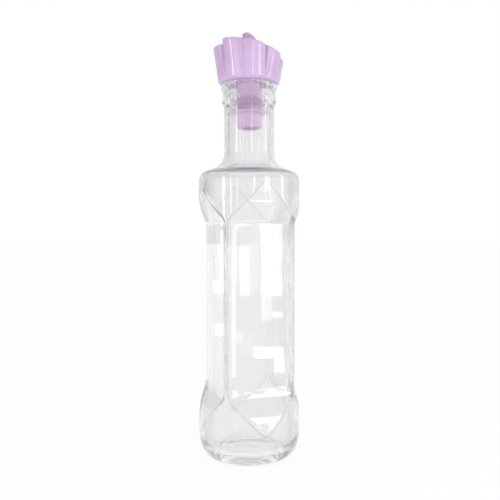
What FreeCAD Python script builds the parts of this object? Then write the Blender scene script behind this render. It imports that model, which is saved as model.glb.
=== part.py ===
"""Oil cruet: a waisted four-panel glass bottle, a ringed pouring plug and a nine-lobed flower collar.

Millimetres, +Z up.  The origin is the centre of the bearing ring under the bottle.
"""
import FreeCAD
import Part
import Sketcher
import math
import os

doc = FreeCAD.newDocument("OilCruet")
sizes = doc.addObject("Spreadsheet::Sheet", "Sizes")

DIMENSIONS = (
    # glass body
    ("body_radius", 29.0),         # round ends of the body
    ("body_wall", 2.7),            # glass behind the flat panels
    ("ridge_wall", 4.0),           # thicker glass behind the four ridges
    ("waist_depth", 0.5),          # how far the ridges pull in half way up
    ("waist_run", 28.0),           # height over which they pull in, at each end
    ("base_glass", 5.2),           # solid glass under the floor
    ("foot_inner", 18.6),          # inner edge of the flat bearing ring
    ("foot_rise", 2.4),            # hollow under the base, at its centre
    ("heel_height", 13.0),         # where the heel reaches the full radius
    ("heel_upper", 18.0),          # large radius of the heel
    ("heel_lower", 6.5),           # small radius of the heel
    ("heel_inner", 9.0),           # round corner of the floor
    ("floor_rise", 1.3),           # dome of the floor
    ("shoulder_height", 157.9),    # where the body turns in
    ("bottle_height", 213.0),      # top of the lip
    # four panels pressed into the body
    ("panel_flat", 20.8),          # from the axis to a flat
    ("panel_rise", 2.8),           # from the heel to the panel's lower end
    ("panel_drop", 0.5),           # from the shoulder down to its upper end
    ("flare_radius", 34.0),        # turn away from the round body
    ("flare_lead", 0.05),          # start of that turn outside the body
    ("blend_low", 16.0),           # turn into the flat, at the bottom
    ("blend_high", 7.5),           # turn into the flat, at the top
    # shoulder, neck and finish
    ("shoulder_round", 6.1),
    ("shoulder_slope", 19.5),      # degrees above level
    ("neck_radius", 14.4),
    ("neck_wall", 3.2),
    ("neck_fillet", 10.0),
    ("bead_drop", 12.1),           # lower edge of the bead, below the top of the lip
    ("bead_reach", 1.2),           # bead beyond the neck
    ("bead_round", 2.4),           # height over which it swells
    ("groove_drop", 4.8),
    ("groove_reach", 0.6),
    ("lip_drop", 3.3),
    ("lip_reach", 1.6),
    ("lip_bevel", 0.8),
    # pouring plug
    ("plug_turn", -18.8),          # degrees from +X to the pouring side
    ("tube_radius", 7.3),
    ("tube_wall", 1.7),
    ("tube_depth", 25.0),          # tube below the top of the lip
    ("tube_bevel", 2.0),
    ("seal_depth", 17.4),          # lower face of the seal, below the top of the lip
    ("seal_width", 3.1),
    ("seal_bevel", 0.9),
    ("seal_clearance", 0.1),       # between the seal and the bore
    ("fin_gap", 2.4),              # from the seal to the first fin
    ("fin_pitch", 3.1),
    ("fin_width", 0.9),
    ("fin_setback", 0.5),          # the fins stop this much short of the seal
    ("flange_reach", 2.9),         # flange beyond the tube
    ("flange_width", 1.6),
    ("spout_radius", 4.0),
    ("spout_wall", 1.4),
    ("spout_rise", 29.3),          # tip of the spout above the lip
    ("spout_level", 3.2),          # level part of the tip
    ("spout_fall", 3.1),           # fall of the mouth to the pouring side
    ("cone_height", 12.0),         # the spout narrows over this height
    # flower collar
    ("collar_height", 22.6),       # highest petals above the lip
    ("collar_overhang", 1.2),      # foot beyond the lip
    ("foot_round", 2.6),
    ("collar_flare", 4.2),         # the lobes reach out this much at the rim
    ("crease_flare", 1.0),         # the creases between them reach out less
    ("collar_wall", 1.5),
    ("collar_floor", 2.0),
    ("collar_clearance", 0.2),     # between the collar's hole and the tube
    ("rim_back_step", 2.6),        # step down to the petals at the back
    ("rim_lean", 2.4),             # gentle fall of the side petals as far as dip_start
    ("dip_start", 3.5),            # from the axis forward to where the rim falls faster
    ("dip_turn", 20.0),            # radius of that turn
    ("dip_side_fall", 6.4),        # fall of the rim as far as the pouring petal
    ("dip_step", 2.0),             # step down to the pouring petal
    ("dip_fall", 9.1),             # fall of the rim at the tip of the pouring petal
)
LOBES = 9
PANELS = 4
CUT_MARGIN = 8.0

for row, (alias, value) in enumerate(DIMENSIONS, start=1):
    sizes.set("A%d" % row, alias)
    sizes.set("B%d" % row, str(value))
    sizes.setAlias("B%d" % row, alias)
doc.recompute()


def number(expression):
    """Value of an expression of the sheet's cells."""
    return float(sizes.evalExpression(expression.lstrip("~").replace("Sizes.", "")))


def origin_feature(body, role):
    """Origin plane or axis of a body."""
    for feature in body.Origin.OriginFeatures:
        if feature.Role == role:
            return feature
    raise ValueError(role)


def new_sketch(body, name, role, height=None):
    """Sketch on one of the body's own origin planes, raised by an expression."""
    sketch = body.newObject("Sketcher::SketchObject", name)
    sketch.AttachmentSupport = [(origin_feature(body, role), "")]
    sketch.MapMode = "FlatFace"
    if height:
        sketch.setExpression("AttachmentOffset.Base.z", height)
    return sketch


def bind(sketch, kind, where, expression):
    """Dimension whose value is an expression of the sheet."""
    value = number(expression)
    if kind == "Angle":
        index = sketch.addConstraint(Sketcher.Constraint(kind, *where, math.radians(value)))
        sketch.setExpression("Constraints[%d]" % index, "(%s) * 1 deg" % expression)
        return
    index = sketch.addConstraint(Sketcher.Constraint(kind, *where, value))
    sketch.setExpression("Constraints[%d]" % index, expression)


def place(sketch, geometry, point, across, up):
    """Fix a point of the outline; a coordinate with ~ is only where the solver starts."""
    for kind, expression, axis in (("DistanceX", across, -2), ("DistanceY", up, -1)):
        if expression.startswith("~"):
            continue
        if expression == "0":
            sketch.addConstraint(Sketcher.Constraint("PointOnObject", geometry, point, axis))
        else:
            bind(sketch, kind, (-1, 1, geometry, point), expression)


def arc_between(start, finish, radius, turn):
    """Arc under half a circle that turns left (+1) or right (-1) on its way."""
    chord = finish - start
    reach = math.sqrt(max(radius ** 2 - (chord.Length / 2) ** 2, 0.0))
    left = FreeCAD.Vector(-chord.y, chord.x, 0).normalize()
    centre = (start + finish) / 2 + left * reach * turn
    first, last = (start, finish) if turn > 0 else (finish, start)
    angles = [math.atan2(p.y - centre.y, p.x - centre.x) for p in (first, last)]
    circle = Part.Circle(centre, FreeCAD.Vector(0, 0, 1), radius)
    return Part.ArcOfCircle(circle, angles[0], angles[1])


def outline(sketch, corners, arcs=None, smooth=(), slopes=None):
    """Closed outline through corners given as expressions.

    arcs maps a leg to (radius, turn), smooth lists the corners where two legs run on
    tangent, and slopes maps a straight leg to its angle.
    """
    arcs = arcs or {}
    slopes = slopes or {}
    count = len(corners)
    spots = [FreeCAD.Vector(number(x), number(y), 0) for x, y in corners]
    begins = []
    ends = []
    for leg in range(count):
        start = spots[leg]
        finish = spots[(leg + 1) % count]
        if leg in arcs:
            radius, turn = arcs[leg]
            index = sketch.addGeometry(arc_between(start, finish, number(radius), turn), False)
            begins.append((index, 1 if turn > 0 else 2))
            ends.append((index, 2 if turn > 0 else 1))
        else:
            index = sketch.addGeometry(Part.LineSegment(start, finish), False)
            begins.append((index, 1))
            ends.append((index, 2))
    for corner in range(count):
        kind = "Tangent" if corner in smooth else "Coincident"
        sketch.addConstraint(Sketcher.Constraint(kind, *ends[corner - 1], *begins[corner]))
    for corner, (across, up) in enumerate(corners):
        place(sketch, *begins[corner], across, up)
    for leg, (radius, turn) in arcs.items():
        bind(sketch, "Radius", (begins[leg][0],), radius)
    for leg, angle in slopes.items():
        bind(sketch, "Angle", (begins[leg][0],), angle)


def revolve(body, sketch, name):
    """Full turn of a sketch about its own upright axis."""
    feature = body.newObject("PartDesign::Revolution", name)
    feature.Profile = sketch
    feature.ReferenceAxis = (sketch, ["V_Axis"])
    feature.Angle = 360
    doc.recompute()
    return feature


def cut_across(body, sketch, name):
    """Cut a sketch through the whole body, to both sides of its plane."""
    feature = body.newObject("PartDesign::Pocket", name)
    feature.Profile = sketch
    feature.Type = "ThroughAll"
    feature.Midplane = True
    doc.recompute()
    return feature


def arch(half_span, rise):
    """Radius of the arc that rises this much over twice the half span."""
    return "((%s) ^ 2 + (%s) ^ 2) / (2 * (%s))" % (half_span, rise, rise)


# ---------------------------------------------------------------- glass bottle
PANEL_LOW = "(Sizes.heel_height + Sizes.panel_rise)"
PANEL_HIGH = "(Sizes.shoulder_height - Sizes.panel_drop)"
BORE = "(Sizes.neck_radius - Sizes.neck_wall)"
BEAD_LOW = "(Sizes.bottle_height - Sizes.bead_drop)"
LIP = "(Sizes.neck_radius + Sizes.lip_reach)"


def press_panels(body, name, inset):
    """Four flats that flare out to the round body at both ends, moved in by the inset."""
    sketch = new_sketch(body, name + "Profile", "XZ_Plane")
    rim = "Sizes.body_radius + Sizes.flare_lead - " + inset
    flat = "Sizes.panel_flat - " + inset
    flare = "Sizes.flare_radius - " + inset
    low = "(Sizes.blend_low + %s)" % inset
    high = "(Sizes.blend_high + %s)" % inset
    outside = "Sizes.body_radius + %g" % CUT_MARGIN
    turn = "acos(1 - ((%s) - (%s)) / ((%s) + %s))"
    low_turn = turn % (rim, flat, flare, low)
    high_turn = turn % (rim, flat, flare, high)
    outline(
        sketch,
        [
            (rim, PANEL_LOW),
            ("~(%s) - (%s) * (1 - cos(%s))" % (rim, flare, low_turn),
             "~%s + (%s) * sin(%s)" % (PANEL_LOW, flare, low_turn)),
            (flat, "~%s + ((%s) + %s) * sin(%s)" % (PANEL_LOW, flare, low, low_turn)),
            (flat, "~%s - ((%s) + %s) * sin(%s)" % (PANEL_HIGH, flare, high, high_turn)),
            ("~(%s) - (%s) * (1 - cos(%s))" % (rim, flare, high_turn),
             "~%s - (%s) * sin(%s)" % (PANEL_HIGH, flare, high_turn)),
            (rim, PANEL_HIGH),
            (outside, PANEL_HIGH),
            (outside, PANEL_LOW),
        ],
        arcs={0: (flare, 1), 1: (low, -1), 3: (high, -1), 4: (flare, 1)},
        smooth=(1, 2, 3, 4),
    )
    square_to_ends(sketch)
    pocket = cut_across(body, sketch, name + "Cut")
    pattern = body.newObject("PartDesign::PolarPattern", name + "s")
    pattern.Originals = [pocket]
    pattern.Axis = (origin_feature(body, "Z_Axis"), [""])
    pattern.Angle = 360
    pattern.Occurrences = PANELS
    body.Tip = pattern
    doc.recompute()
    return pattern


def square_to_ends(sketch):
    """Each flare starts upright: its centre is level with the end of the panel."""
    for index, point in ((0, 1), (4, 2)):
        sketch.addConstraint(Sketcher.Constraint("Horizontal", index, 3, index, point))


def outer_form():
    """The outside of the bottle as a solid: heel, waisted body, shoulder, neck, bead and lip."""
    body = doc.addObject("PartDesign::Body", "OuterForm")
    sketch = new_sketch(body, "OuterProfile", "XZ_Plane")
    outline(
        sketch,
        [
            ("0", "Sizes.foot_rise"),
            ("Sizes.foot_inner", "0"),
            ("~Sizes.foot_inner + 2", "0"),
            ("~Sizes.body_radius - 3", "~Sizes.heel_lower / 2"),
            ("Sizes.body_radius", "Sizes.heel_height"),
            ("Sizes.body_radius", PANEL_LOW),
            ("Sizes.body_radius - Sizes.waist_depth", PANEL_LOW + " + Sizes.waist_run"),
            ("Sizes.body_radius - Sizes.waist_depth", PANEL_HIGH + " - Sizes.waist_run"),
            ("Sizes.body_radius", PANEL_HIGH),
            ("Sizes.body_radius", "Sizes.shoulder_height"),
            ("~Sizes.body_radius - 4", "~Sizes.shoulder_height + 5.8"),
            ("~Sizes.neck_radius + 6.5", "~Sizes.shoulder_height + 7"),
            ("Sizes.neck_radius", "~Sizes.shoulder_height + 16.5"),
            ("Sizes.neck_radius", BEAD_LOW),
            ("Sizes.neck_radius + Sizes.bead_reach * 2 / 3", BEAD_LOW + " + Sizes.bead_round / 2"),
            ("Sizes.neck_radius + Sizes.bead_reach", BEAD_LOW + " + Sizes.bead_round"),
            ("Sizes.neck_radius + Sizes.groove_reach", "Sizes.bottle_height - Sizes.groove_drop"),
            (LIP, "Sizes.bottle_height - Sizes.lip_drop"),
            (LIP, "Sizes.bottle_height - Sizes.lip_bevel"),
            (LIP + " - Sizes.lip_bevel", "Sizes.bottle_height"),
            ("0", "Sizes.bottle_height"),
        ],
        arcs={
            0: (arch("Sizes.foot_inner", "Sizes.foot_rise"), -1),
            2: ("Sizes.heel_lower", 1),
            3: ("Sizes.heel_upper", 1),
            9: ("Sizes.shoulder_round", 1),
            11: ("Sizes.neck_fillet", -1),
        },
        smooth=(2, 3, 4, 9, 10, 11, 12),
        slopes={10: "180 - Sizes.shoulder_slope"},
    )
    revolve(body, sketch, "OuterTurned")
    press_panels(body, "OuterPanel", "0")
    return body


def cavity_form():
    """The room inside the bottle, up through the open neck."""
    body = doc.addObject("PartDesign::Body", "CavityForm")
    sketch = new_sketch(body, "CavityProfile", "XZ_Plane")
    wall = "(Sizes.body_radius - Sizes.body_wall)"
    ridge = "Sizes.body_radius - Sizes.waist_depth - Sizes.ridge_wall"
    outline(
        sketch,
        [
            ("0", "Sizes.base_glass + Sizes.floor_rise"),
            (wall + " - Sizes.heel_inner", "Sizes.base_glass"),
            (wall, "Sizes.base_glass + Sizes.heel_inner"),
            (wall, PANEL_LOW),
            (ridge, PANEL_LOW + " + Sizes.waist_run"),
            (ridge, PANEL_HIGH + " - Sizes.waist_run"),
            (wall, PANEL_HIGH),
            (wall, "Sizes.shoulder_height"),
            ("~%s - 2" % wall, "~Sizes.shoulder_height + 3"),
            ("~%s + 8" % BORE, "~Sizes.shoulder_height + 4"),
            (BORE, "~Sizes.shoulder_height + 16"),
            (BORE, "Sizes.bottle_height + %g" % CUT_MARGIN),
            ("0", "Sizes.bottle_height + %g" % CUT_MARGIN),
        ],
        arcs={
            0: (arch(wall + " - Sizes.heel_inner", "Sizes.floor_rise"), -1),
            1: ("Sizes.heel_inner", 1),
            7: ("Sizes.shoulder_round - Sizes.body_wall", 1),
            9: ("Sizes.neck_fillet + Sizes.body_wall", -1),
        },
        smooth=(7, 8, 9, 10),
        slopes={8: "180 - Sizes.shoulder_slope"},
    )
    revolve(body, sketch, "CavityTurned")
    press_panels(body, "CavityPanel", "Sizes.body_wall")
    return body


def make_bottle():
    bottle = doc.addObject("Part::Cut", "Bottle")
    bottle.Base = outer_form()
    bottle.Tool = cavity_form()
    bottle.Label = "bottle"
    return bottle


# ---------------------------------------------------------------- pouring plug
def turn_to_pour(body):
    """Turn a body about the upright axis so that its own +X is the pouring side."""
    body.Placement = FreeCAD.Placement(FreeCAD.Vector(), FreeCAD.Rotation(FreeCAD.Vector(0, 0, 1), 0))
    body.setExpression("Placement.Rotation.Angle", "Sizes.plug_turn * 1 deg")


def fin_corners(root, reach, low):
    """Corners of one fin: flat below, with a bevelled upper side."""
    return (
        (root, low),
        (reach, low),
        (reach, low + " + Sizes.fin_width / 2"),
        (root, low + " + Sizes.fin_width"),
    )


def make_pour_plug():
    """Tube with a seal and two fins in the neck, a flange on the collar and the pouring spout."""
    body = doc.addObject("PartDesign::Body", "PourPlug")
    body.Label = "pour_plug"
    sketch = new_sketch(body, "PlugProfile", "XZ_Plane")
    tube = "Sizes.tube_radius"
    bore = "Sizes.tube_radius - Sizes.tube_wall"
    seal = BORE + " - Sizes.seal_clearance"
    fin = seal + " - Sizes.fin_setback"
    low = "Sizes.bottle_height - Sizes.tube_depth"
    seal_low = "Sizes.bottle_height - Sizes.seal_depth"
    fin_low = seal_low + " + Sizes.seal_width + Sizes.fin_gap"
    floor = "Sizes.bottle_height + Sizes.collar_floor"
    flange = "Sizes.tube_radius + Sizes.flange_reach"
    cone = floor + " + Sizes.flange_width"
    spout = "Sizes.spout_radius"
    spout_bore = "Sizes.spout_radius - Sizes.spout_wall"
    tip = "Sizes.bottle_height + Sizes.spout_rise"
    outline(
        sketch,
        [
            (bore, low),
            (tube + " - Sizes.tube_bevel / 3", low),
            (tube, low + " + Sizes.tube_bevel"),
            (tube, seal_low),
            (seal + " - Sizes.seal_bevel", seal_low),
            (seal, seal_low + " + Sizes.seal_bevel"),
            (seal, seal_low + " + Sizes.seal_width - Sizes.seal_bevel"),
            (seal + " - Sizes.seal_bevel", seal_low + " + Sizes.seal_width"),
            (tube, seal_low + " + Sizes.seal_width"),
            *fin_corners(tube, fin, fin_low),
            *fin_corners(tube, fin, fin_low + " + Sizes.fin_pitch"),
            (tube, floor),
            (flange, floor),
            (flange, cone),
            (tube, cone),
            (spout, cone + " + Sizes.cone_height"),
            (spout, tip + " + %g" % CUT_MARGIN),
            (spout_bore, tip + " + %g" % CUT_MARGIN),
            (spout_bore, cone + " + Sizes.cone_height"),
            (bore, cone),
        ],
    )
    revolve(body, sketch, "PlugTurned")
    mouth = new_sketch(body, "MouthProfile", "XZ_Plane")
    left = "-%s - %g" % (spout, CUT_MARGIN)
    right = "%s + %g" % (spout, CUT_MARGIN)
    above = tip + " + %g" % (2 * CUT_MARGIN)
    outline(
        mouth,
        [
            (left, tip),
            ("Sizes.spout_level - Sizes.spout_radius", tip),
            (spout, tip + " - Sizes.spout_fall"),
            (right, tip + " - Sizes.spout_fall"),
            (right, above),
            (left, above),
        ],
    )
    cut_across(body, mouth, "MouthCut")
    turn_to_pour(body)
    return body


# ---------------------------------------------------------------- flower collar
def lobed_section(body, name, height, tip, crease):
    """Ring of equal arcs, convex outwards, that meet in creases; a circle when tip = crease."""
    sketch = new_sketch(body, name, "XY_Plane", height)
    step = 360.0 / LOBES
    hub = "((%s) ^ 2 - (%s) ^ 2) / (2 * ((%s) - (%s) * cos(%g)))" % (tip, crease, tip, crease, step / 2)
    angles = [step * (lobe - 0.5) for lobe in range(LOBES)]
    corners = [("(%s) * cos(%g)" % (crease, a), "(%s) * sin(%g)" % (crease, a)) for a in angles]
    outline(sketch, corners, arcs={lobe: ("(%s) - %s" % (tip, hub), 1) for lobe in range(LOBES)})
    return sketch


def loft(body, kind, name, sections):
    """Straight-sided loft through sections, from the lowest to the highest."""
    feature = body.newObject(kind, name)
    feature.Profile = sections[0]
    feature.Sections = sections[1:]
    feature.Ruled = True
    doc.recompute()
    return feature


def make_flower_collar():
    """Cup that opens into nine lobes, with a rounded foot and a rim that falls to one side."""
    body = doc.addObject("PartDesign::Body", "FlowerCollar")
    body.Label = "flower_collar"
    seat = "Sizes.bottle_height"
    edge = seat + " + Sizes.foot_round"
    rim = seat + " + Sizes.collar_height"
    foot = LIP + " + Sizes.collar_overhang"
    lobe_tip = foot + " + Sizes.collar_flare"
    crease = foot + " + Sizes.crease_flare"
    saucer = new_sketch(body, "SaucerProfile", "XZ_Plane")
    outline(
        saucer,
        [
            ("0", seat),
            (foot + " - Sizes.foot_round", seat),
            (foot, edge),
            ("0", edge),
        ],
        arcs={1: ("Sizes.foot_round", 1)},
    )
    revolve(body, saucer, "Saucer")
    outside = [
        lobed_section(body, "OuterFoot", edge, foot, foot),
        lobed_section(body, "OuterRim", rim, lobe_tip, crease),
    ]
    loft(body, "PartDesign::AdditiveLoft", "Petals", outside)
    inner_foot = foot + " - Sizes.collar_wall"
    inside = [
        lobed_section(body, "InnerFloor", seat + " + Sizes.collar_floor",
                      inner_foot + " - 0.2", inner_foot + " - 0.2"),
        lobed_section(body, "InnerRim", rim,
                      lobe_tip + " - Sizes.collar_wall", crease + " - Sizes.collar_wall"),
    ]
    loft(body, "PartDesign::SubtractiveLoft", "Cup", inside)
    hole = new_sketch(body, "TubeHole", "XY_Plane", seat)
    hole.addGeometry(Part.Circle(FreeCAD.Vector(), FreeCAD.Vector(0, 0, 1), 7.0), False)
    hole.addConstraint(Sketcher.Constraint("Coincident", 0, 3, -1, 1))
    bind(hole, "Radius", (0,), "Sizes.tube_radius + Sizes.collar_clearance")
    cut_across(body, hole, "TubeHoleCut")
    side = new_sketch(body, "RimFromTheSide", "XZ_Plane")
    rear_crease = "(%s) * cos(%g deg)" % (crease, 360 / LOBES)
    front_crease = "(%s) * cos(%g deg)" % (crease, 180 / LOBES)
    rear_rim = rim + " - Sizes.rim_back_step"
    side_rim = rim + " - Sizes.dip_side_fall"
    pouring_rim = rim + " - Sizes.dip_fall"
    beyond = lobe_tip + " + %g" % CUT_MARGIN
    above = rim + " + %g" % CUT_MARGIN
    outline(
        side,
        [
            ("-" + rear_crease, rim),
            ("Sizes.dip_start", rim + " - Sizes.rim_lean"),
            ("~Sizes.dip_start + 3", "~%s - Sizes.rim_lean - 0.6" % rim),
            (front_crease, side_rim),
            (front_crease, side_rim + " - Sizes.dip_step"),
            (lobe_tip, pouring_rim),
            (beyond, pouring_rim),
            (beyond, above),
            ("-(%s)" % beyond, above),
            ("-(%s)" % beyond, rear_rim),
            ("-" + rear_crease, rear_rim),
        ],
        arcs={1: ("Sizes.dip_turn", -1)},
        smooth=(1, 2),
    )
    cut_across(body, side, "RimCut")
    turn_to_pour(body)
    return body


# ---------------------------------------------------------------- build and export
sub_parts = [make_bottle(), make_pour_plug(), make_flower_collar()]
doc.recompute()

for item in doc.Objects:
    if "Invalid" in item.State or "Error" in item.State:
        raise RuntimeError("%s did not rebuild: %s" % (item.Name, item.State))
for sub_part in sub_parts:
    if sub_part.Shape.isNull() or not sub_part.Shape.isValid():
        raise RuntimeError("%s has no valid shape" % sub_part.Label)

os.makedirs("parts", exist_ok=True)
for sub_part in sub_parts:
    sub_part.Shape.exportStep("parts/%s.step" % sub_part.Label)
    print("%s: %.0f cubic mm" % (sub_part.Label, sub_part.Shape.Volume))
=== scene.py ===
"""Oil cruet: glass bottle, pouring plug and flower collar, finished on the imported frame.

Run as a script.  Lengths are metres, +Z up, and the bottle's axis is the Z axis.
"""
import math

import bpy
import numpy as np
from bpy.props import FloatProperty, FloatVectorProperty, IntProperty, PointerProperty
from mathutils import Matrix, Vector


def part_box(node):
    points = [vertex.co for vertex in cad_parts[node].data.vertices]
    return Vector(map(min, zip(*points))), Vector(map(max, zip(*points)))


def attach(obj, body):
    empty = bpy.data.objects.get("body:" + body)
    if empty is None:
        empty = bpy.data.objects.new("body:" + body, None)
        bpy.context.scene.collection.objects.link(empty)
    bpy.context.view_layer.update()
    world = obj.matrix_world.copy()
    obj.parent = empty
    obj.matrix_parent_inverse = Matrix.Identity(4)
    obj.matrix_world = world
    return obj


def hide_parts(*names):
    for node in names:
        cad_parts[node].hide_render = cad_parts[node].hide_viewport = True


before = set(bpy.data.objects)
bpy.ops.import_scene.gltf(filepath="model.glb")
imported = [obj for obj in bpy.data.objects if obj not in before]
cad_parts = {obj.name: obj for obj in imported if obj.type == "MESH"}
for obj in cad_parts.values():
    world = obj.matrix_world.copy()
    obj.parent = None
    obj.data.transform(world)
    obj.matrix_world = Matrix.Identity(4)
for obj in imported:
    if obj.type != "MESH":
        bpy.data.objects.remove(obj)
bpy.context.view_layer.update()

bl_info = {
    "name": "Oil Cruet",
    "version": (1, 0, 0),
    "blender": (4, 5, 0),
    "location": "View3D > Sidebar > Cruet",
    "description": "Builds a pressed glass oil cruet with its pouring plug and flower collar",
    "category": "Add Mesh",
}

MM = 0.001
WHITE = (1.0, 1.0, 1.0, 1.0)
PANELS = 4
PANEL_STEP = 2 * math.pi / PANELS
LOBES = 9
LOBE_HALF = math.pi / LOBES
COLLAR_FLOOR = 2.0 * MM
BOTTLE_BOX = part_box("bottle")
PLUG_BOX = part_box("pour_plug")
COLLAR_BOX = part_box("flower_collar")


# ---------------------------------------------------------------- curves and grids
def soft_min(first, second, blend):
    """Smaller of two values, rounded where they come within blend of each other.

    min(a, b) - blend * h^2 / 4 with h = 1 - |a - b| / blend, and h = 0 beyond blend.
    """
    near = np.clip(1.0 - np.abs(first - second) / blend, 0.0, None)
    return np.minimum(first, second) - blend * near * near / 4.0


def soft_max(first, second, blend):
    """Larger of two values, rounded in the same way as soft_min."""
    return -soft_min(-first, -second, blend)


def smooth_step(value):
    """0 below 0, 1 above 1, and 3t^2 - 2t^3 between."""
    t = np.clip(value, 0.0, 1.0)
    return t * t * (3.0 - 2.0 * t)


def nearest(angle, step):
    """Angle from the nearest multiple of a step: (a + step / 2) mod step - step / 2."""
    return (angle + step / 2) % step - step / 2


def run(start, finish, count):
    """Points evenly spaced from start up to, but not including, finish:
    start + t (finish - start)."""
    t = np.linspace(0.0, 1.0, count, endpoint=False)[:, None]
    return np.asarray(start) + t * (np.asarray(finish) - np.asarray(start))


def bend(centre, radius, start, finish, count):
    """Arc in the (radius, height) plane, angles in degrees: centre + radius (cos a, sin a)."""
    angle = np.radians(np.linspace(start, finish, count, endpoint=False))
    return np.asarray(centre) + radius * np.column_stack((np.cos(angle), np.sin(angle)))


def through(points, count):
    """Catmull-Rom curve through the points: each span is a cubic whose end slopes are half the
    difference of the points on either side."""
    knots = np.asarray(points)
    knots = np.vstack((2 * knots[0] - knots[1], knots, 2 * knots[-1] - knots[-2]))
    t = np.linspace(0.0, len(points) - 1.0, count, endpoint=False)
    span = t.astype(int)
    t = (t - span)[:, None]
    before, start, finish, after = (knots[span + k] for k in range(4))
    return 0.5 * (
        2 * start
        + (finish - before) * t
        + (2 * before - 5 * start + 4 * finish - after) * t ** 2
        + (3 * start - before - 3 * finish + after) * t ** 3
    )


def new_piece(name, vertices, quads, triangles=np.empty((0, 3), dtype=int)):
    """Smooth-shaded mesh object of quads, and of triangles at its poles, turned outwards.

    The faces already point outwards if the sum of (middle of a quad) . (cross product of its
    diagonals), which goes with the volume, is above zero.
    """
    corners = vertices[quads]
    cross = np.cross(corners[:, 2] - corners[:, 0], corners[:, 3] - corners[:, 1])
    if np.einsum("ij,ij->i", corners.mean(axis=1), cross).sum() < 0.0:
        quads, triangles = quads[:, ::-1], triangles[:, ::-1]
    mesh = bpy.data.meshes.new(name)
    mesh.from_pydata(vertices.tolist(), [], quads.tolist() + triangles.tolist())
    mesh.polygons.foreach_set("use_smooth", np.ones(len(mesh.polygons), dtype=bool))
    mesh.update()
    piece = bpy.data.objects.new(name, mesh)
    bpy.context.collection.objects.link(piece)
    return piece


def lathe_points(radius, height, angle):
    """x = r cos a, y = r sin a, z = h, with r and h given for every row and column."""
    points = np.stack((radius * np.cos(angle), radius * np.sin(angle), height), axis=-1)
    return points.reshape(-1, 3)


def lathe_faces(rows, columns, ring):
    """Quads of a grid that closes round the axis, and also from last row to first in a ring."""
    index = np.arange(rows * columns).reshape(rows, columns)
    if ring:
        index = np.vstack((index, index[:1]))
    right = np.roll(index, -1, axis=1)
    return np.stack((index[:-1], right[:-1], right[1:], index[1:]), axis=-1).reshape(-1, 4)


def ring_piece(name, radius, height, angle):
    """Closed ring: rows go round its section, columns round the axis."""
    quads = lathe_faces(*radius.shape, ring=True)
    return new_piece(name, lathe_points(radius, height, angle), quads)


def capped_piece(name, radius, height, angle):
    """Closed form whose first and last rows each shrink to one point on the axis."""
    rows, columns = radius.shape
    count = rows * columns
    poles = [(0.0, 0.0, height[0].mean()), (0.0, 0.0, height[-1].mean())]
    first = np.arange(columns)
    last = first + count - columns
    fans = np.vstack((
        np.column_stack((np.full(columns, count), np.roll(first, -1), first)),
        np.column_stack((np.full(columns, count + 1), last, np.roll(last, -1))),
    ))
    vertices = np.vstack((lathe_points(radius, height, angle), poles))
    return new_piece(name, vertices, lathe_faces(rows, columns, ring=False), fans)


def keep_values(piece, name, values):
    """Store one number for each vertex of a piece, 1 where the values run out."""
    filled = np.ones(len(piece.data.vertices))
    filled[:values.size] = values.ravel()
    piece.data.attributes.new(name, "FLOAT", "POINT").data.foreach_set("value", filled)


def finish_piece(piece, material, node):
    """Puts a piece's material in its first slot, hangs the piece on the root body and hides its
    CAD node.
    """
    piece.data.materials.append(material)
    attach(piece, "root")
    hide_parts(node)


# ---------------------------------------------------------------- user sizes and finishes
class CruetBottle(bpy.types.PropertyGroup):
    """Sizes of the glass bottle."""
    body_radius: FloatProperty(
        name="Body radius", description="Round ends of the body", unit="LENGTH",
        default=BOTTLE_BOX[1][0])
    height: FloatProperty(
        name="Height", description="Top of the lip", unit="LENGTH", default=BOTTLE_BOX[1][2])
    wall: FloatProperty(
        name="Wall", description="Glass behind a flat panel", unit="LENGTH", default=2.7 * MM)
    ridge_wall: FloatProperty(
        name="Ridge wall", description="Glass behind a ridge", unit="LENGTH", default=4.0 * MM)
    panel_flat: FloatProperty(
        name="Panel flat", description="From the axis to a flat", unit="LENGTH", default=20.8 * MM)
    ridge_soft: FloatProperty(
        name="Ridge softness", description="Blend of two panels over a ridge", unit="LENGTH",
        default=5.0 * MM)
    edge_soft: FloatProperty(
        name="Edge softness", description="Blend of a panel's pointed ends into the round body",
        unit="LENGTH", default=0.35 * MM)
    shoulder_height: FloatProperty(
        name="Shoulder height", description="Where the body turns in", unit="LENGTH",
        default=157.9 * MM)
    neck_radius: FloatProperty(
        name="Neck radius", description="Outside of the neck", unit="LENGTH", default=14.4 * MM)
    columns: IntProperty(name="Columns", description="Divisions round the bottle", default=256)


class CruetPlug(bpy.types.PropertyGroup):
    """Sizes of the pouring plug."""
    tube_radius: FloatProperty(
        name="Tube radius", description="Tube in the neck", unit="LENGTH", default=7.3 * MM)
    spout_radius: FloatProperty(
        name="Spout radius", description="Outside of the spout", unit="LENGTH", default=4.0 * MM)
    turn: FloatProperty(
        name="Turn", description="Direction of the pouring side", subtype="ANGLE",
        default=math.radians(-18.8))
    columns: IntProperty(name="Columns", description="Divisions round the plug", default=144)


class CruetCollar(bpy.types.PropertyGroup):
    """Sizes of the flower collar."""
    foot_radius: FloatProperty(
        name="Foot radius", description="Round foot of the collar", unit="LENGTH",
        default=17.9 * MM)
    flare: FloatProperty(
        name="Flare", description="Petals beyond the foot at the rim", unit="LENGTH",
        default=3.5 * MM)
    crease_flare: FloatProperty(
        name="Crease flare", description="Creases beyond the foot at the rim", unit="LENGTH",
        default=0.3 * MM)
    wall: FloatProperty(
        name="Wall", description="Wall of the cup", unit="LENGTH", default=1.5 * MM)
    columns: IntProperty(name="Columns", description="Divisions of each lobe", default=24)


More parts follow.
